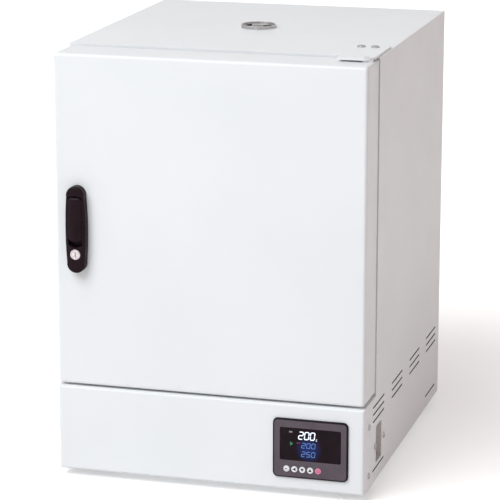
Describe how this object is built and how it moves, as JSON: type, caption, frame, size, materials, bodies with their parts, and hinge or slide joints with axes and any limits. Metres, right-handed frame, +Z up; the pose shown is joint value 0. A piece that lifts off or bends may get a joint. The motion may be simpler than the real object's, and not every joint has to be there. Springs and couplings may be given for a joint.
{
  "type": "benchtop drying oven",
  "caption": "Benchtop laboratory drying oven: insulated door hinged on the right with a pull handle and key lock, digital controller below, wire shelves, exhaust damper on top.",
  "frame": {"origin": "on the surface that the feet stand on, under the middle of the overall box", "axes": "+Z up, -Y towards someone who faces the door, +X to their right"},
  "size_m": [0.414, 0.4986, 0.572],
  "materials": {
    "painted_white": "fine textured powder coat",
    "galvanised": "zinc coated sheet",
    "stainless": "brushed stainless sheet",
    "steel": "plated steel",
    "screw_steel": "bright plated",
    "heater_sheath": "heat-tinted sheath",
    "ceramic_white": "unglazed steatite",
    "exhaust_metal": "satin stainless",
    "bare_aluminium": "extruded",
    "lock_metal": "bright plated",
    "shelf_wire": "electropolished stainless wire",
    "black_rubber": "matt",
    "silicone": "soft heat-proof silicone",
    "mineral_wool": "glass wool slab",
    "handle_plastic": "fine satin grain",
    "black_plastic": "matt",
    "toggle_plastic": "smooth",
    "grey_plastic": "matt",
    "bush_plastic": "acetal",
    "bezel_plastic": "fine satin grain",
    "dark_lens": "clear gloss over a dark display",
    "board_green": "solder mask",
    "button_white": "smooth",
    "button_red": "smooth"
  },
  "bodies": {
    "cabinet": {"side_panel_right": "painted_white", "side_panel_left": "painted_white", "top_cover": "painted_white", "rear_panel": "painted_white", "base_pan": "galvanised", "deck_plate": "galvanised", "inner_back_plate": "galvanised", "front_frame": "painted_white", "control_panel": "painted_white", "rubber_feet": "black_rubber", "chamber_liner": "stainless", "insulation_low": "mineral_wool", "insulation_top": "mineral_wool", "insulation_sides": "mineral_wool", "insulation_back": "mineral_wool", "floor_baffle": "stainless", "heater_element": "heater_sheath", "heater_stands": "ceramic_white", "temperature_probe": "stainless", "shelf_pillars": "stainless", "shelf_runners": "stainless", "exhaust_duct": "stainless", "exhaust_collar": "exhaust_metal", "upper_hinge_bracket": "painted_white", "upper_hinge_pin": "steel", "lower_hinge_pin": "steel", "hinge_washers": "steel", "catch_magnets": "black_plastic", "lock_keeper": "steel", "controller_bezel": "bezel_plastic", "display_lens": "dark_lens", "controller_case": "black_plastic", "controller_board": "board_green", "breaker_recess": "grey_plastic", "breaker_body": "black_plastic", "heat_sink": "bare_aluminium", "solid_state_relay": "black_plastic", "terminal_block": "black_plastic", "cable_gland": "black_plastic", "m4_screws": "screw_steel", "m5_screws": "screw_steel"},
    "door": {"door_skin": "painted_white", "door_liner": "stainless", "door_insulation": "mineral_wool", "door_gasket": "silicone", "door_bushes": "bush_plastic", "handle_base": "handle_plastic", "lever_pin": "steel"},
    "handle_lever": {"handle_lever": "handle_plastic"},
    "lock": {"lock_barrel": "lock_metal"},
    "damper": {"damper_disc": "exhaust_metal"},
    "breaker_toggle": {"breaker_toggle": "toggle_plastic"},
    "shelf_lower": {"shelf_lower": "shelf_wire"},
    "shelf_upper": {"shelf_upper": "shelf_wire"},
    "button_1": {"button_1": "button_white"},
    "button_2": {"button_2": "button_white"},
    "button_3": {"button_3": "button_white"},
    "button_4": {"button_4": "button_white"},
    "button_5": {"button_5": "button_red"}
  },
  "joints": [
    {"name": "door_hinge", "type": "hinge", "parent": "cabinet", "child": "door", "pos_m": [0.193, -0.19265, 0.34], "axis": [0, 0, 1], "range_deg": [0, 120]},
    {"name": "lever_pivot", "type": "hinge", "parent": "door", "child": "handle_lever", "pos_m": [-0.174, -0.24415, 0.375], "axis": [-1, 0, 0], "range_deg": [0, 35], "stiffness_Nm_per_rad": 0.1, "springref_deg": -17.19},
    {"name": "lock_turn", "type": "hinge", "parent": "door", "child": "lock", "pos_m": [-0.174, -0.23465, 0.3048], "axis": [0, -1, 0], "range_deg": [0, 90]},
    {"name": "damper_turn", "type": "hinge", "parent": "cabinet", "child": "damper", "pos_m": [-0.005, 0.02035, 0.5665], "axis": [0, 0, 1], "range_deg": [0, 90]},
    {"name": "toggle_flip", "type": "hinge", "parent": "cabinet", "child": "breaker_toggle", "pos_m": [0.1876, -0.1519, 0.0574], "axis": [0, -1, 0], "range_deg": [0, 36]},
    {"name": "shelf_lower_slide", "type": "slide", "parent": "cabinet", "child": "shelf_lower", "axis": [0, -1, 0], "range_m": [0, 0.012]},
    {"name": "shelf_upper_slide", "type": "slide", "parent": "cabinet", "child": "shelf_upper", "axis": [0, -1, 0], "range_m": [0, 0.012]},
    {"name": "button_1_press", "type": "slide", "parent": "cabinet", "child": "button_1", "axis": [0, 1, 0], "range_m": [0, 0.0008], "stiffness_N_per_m": 300, "springref_m": -0.0005},
    {"name": "button_2_press", "type": "slide", "parent": "cabinet", "child": "button_2", "axis": [0, 1, 0], "range_m": [0, 0.0008], "stiffness_N_per_m": 300, "springref_m": -0.0005},
    {"name": "button_3_press", "type": "slide", "parent": "cabinet", "child": "button_3", "axis": [0, 1, 0], "range_m": [0, 0.0008], "stiffness_N_per_m": 300, "springref_m": -0.0005},
    {"name": "button_4_press", "type": "slide", "parent": "cabinet", "child": "button_4", "axis": [0, 1, 0], "range_m": [0, 0.0008], "stiffness_N_per_m": 300, "springref_m": -0.0005},
    {"name": "button_5_press", "type": "slide", "parent": "cabinet", "child": "button_5", "axis": [0, 1, 0], "range_m": [0, 0.0008], "stiffness_N_per_m": 300, "springref_m": -0.0005}
  ]
}
